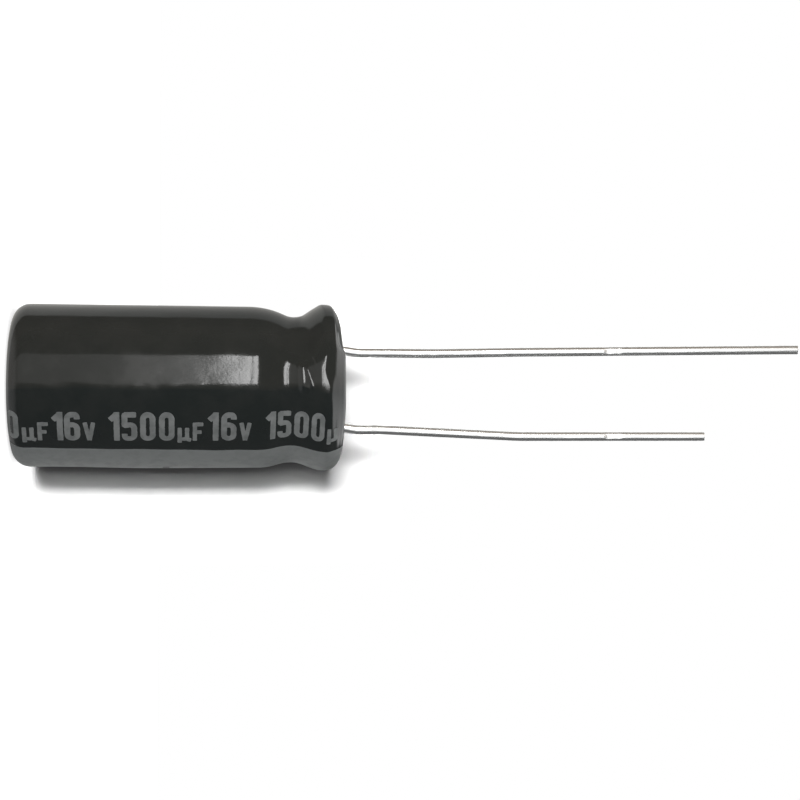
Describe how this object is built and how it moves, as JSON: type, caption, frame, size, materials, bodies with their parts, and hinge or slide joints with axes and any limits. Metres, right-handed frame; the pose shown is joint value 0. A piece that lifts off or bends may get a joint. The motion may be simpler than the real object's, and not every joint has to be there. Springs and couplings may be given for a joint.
{
  "type": "electrolytic capacitor",
  "caption": "Radial aluminium can capacitor in a dark shrink sleeve with a pale polarity stripe, a beaded and curled open end, a rubber seal and two wire leads of unequal length.",
  "frame": {"origin": "middle of the ring on the closed end that the part stands on", "axes": "+Z along the can towards the leads; the long anode lead is at -X and the short cathode lead, with the stripe beside it, at +X"},
  "size_m": [0.0108, 0.0108, 0.052],
  "materials": {
    "shrink_film": "semi-gloss shrink film",
    "print_ink": "printed grey ink",
    "can_aluminium": "drawn",
    "seal_rubber": "moulded",
    "tinned_wire": "dull tinned",
    "tab_aluminium": "bright",
    "foil_and_paper": "soaked paper and foil edges",
    "tape_film": "clear amber film"
  },
  "bodies": {
    "root": {"sleeve": "shrink_film", "polarity_stripe": "print_ink", "can": "can_aluminium", "rubber_seal": "seal_rubber", "anode_lead": "tinned_wire", "cathode_lead": "tinned_wire", "anode_tab": "tab_aluminium", "cathode_tab": "tab_aluminium", "wound_roll": "foil_and_paper", "closing_tape": "tape_film"}
  },
  "joints": []
}
